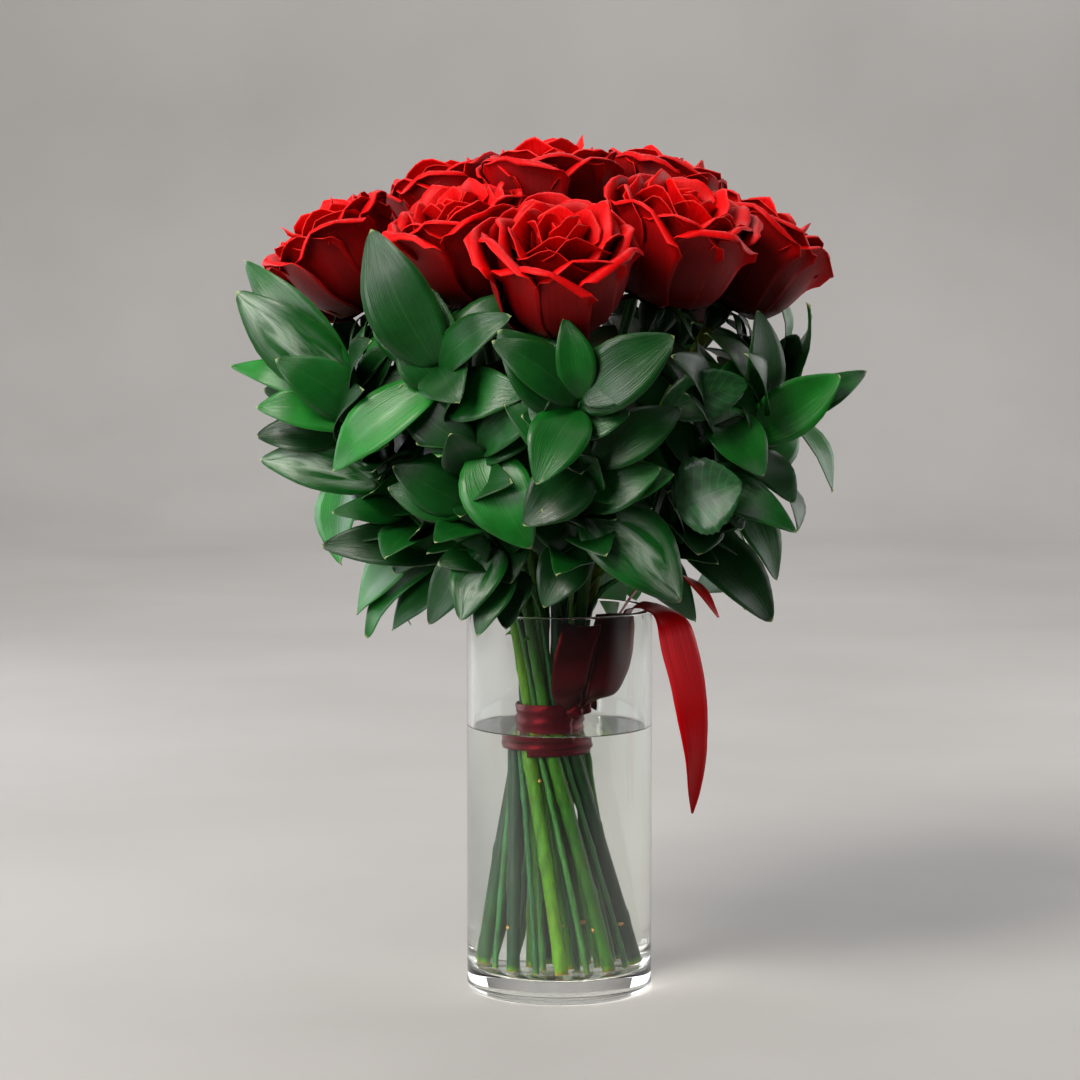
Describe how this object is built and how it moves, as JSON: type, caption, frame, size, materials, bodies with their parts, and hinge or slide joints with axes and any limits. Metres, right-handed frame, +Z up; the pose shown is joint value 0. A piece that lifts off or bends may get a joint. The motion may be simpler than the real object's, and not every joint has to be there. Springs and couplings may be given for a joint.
{
  "type": "roses in a glass vase",
  "caption": "Tied bouquet of open red roses over a collar of ruscus leaves, standing in a clear glass cylinder vase with water, bound with a satin ribbon.",
  "frame": {"origin": "on the ground, at the middle of the foot of the vase", "axes": "+Z up along the vase, -Y to the front where the long ribbon tail hangs on the right, +X to the right"},
  "size_m": [0.3383, 0.2941, 0.454],
  "materials": {
    "glass": "clear and polished",
    "water": "clear still water",
    "satin": "dark red satin ribbon",
    "petal": "velvety red petal",
    "rose_stem": "fresh green stem, slightly waxy",
    "ruscus": "leathery glossy dark green leaf"
  },
  "bodies": {
    "root": {"vase": "glass", "water": "water", "ribbon_binding": "satin", "ribbon_bow": "satin", "ribbon_long_tail": "satin", "ribbon_short_tail": "satin", "rose_bloom_1": "petal", "rose_bloom_2": "petal", "rose_bloom_3": "petal", "rose_bloom_4": "petal", "rose_bloom_5": "petal", "rose_bloom_6": "petal", "rose_bloom_7": "petal", "rose_bloom_8": "petal", "rose_bloom_9": "petal", "rose_bloom_10": "petal", "rose_bloom_11": "petal", "rose_bloom_12": "petal", "rose_stem_1": "rose_stem", "rose_stem_2": "rose_stem", "rose_stem_3": "rose_stem", "rose_stem_4": "rose_stem", "rose_stem_5": "rose_stem", "rose_stem_6": "rose_stem", "rose_stem_7": "rose_stem", "rose_stem_8": "rose_stem", "rose_stem_9": "rose_stem", "rose_stem_10": "rose_stem", "rose_stem_11": "rose_stem", "rose_stem_12": "rose_stem", "ruscus_stem_1": "ruscus", "ruscus_stem_2": "ruscus", "ruscus_stem_3": "ruscus", "ruscus_stem_4": "ruscus", "ruscus_stem_5": "ruscus", "ruscus_stem_6": "ruscus", "ruscus_stem_7": "ruscus", "ruscus_stem_8": "ruscus", "ruscus_stem_9": "ruscus", "ruscus_stem_10": "ruscus", "ruscus_stem_11": "ruscus", "ruscus_stem_12": "ruscus", "ruscus_stem_13": "ruscus", "ruscus_stem_14": "ruscus", "ruscus_stem_15": "ruscus", "ruscus_stem_16": "ruscus"}
  },
  "joints": []
}
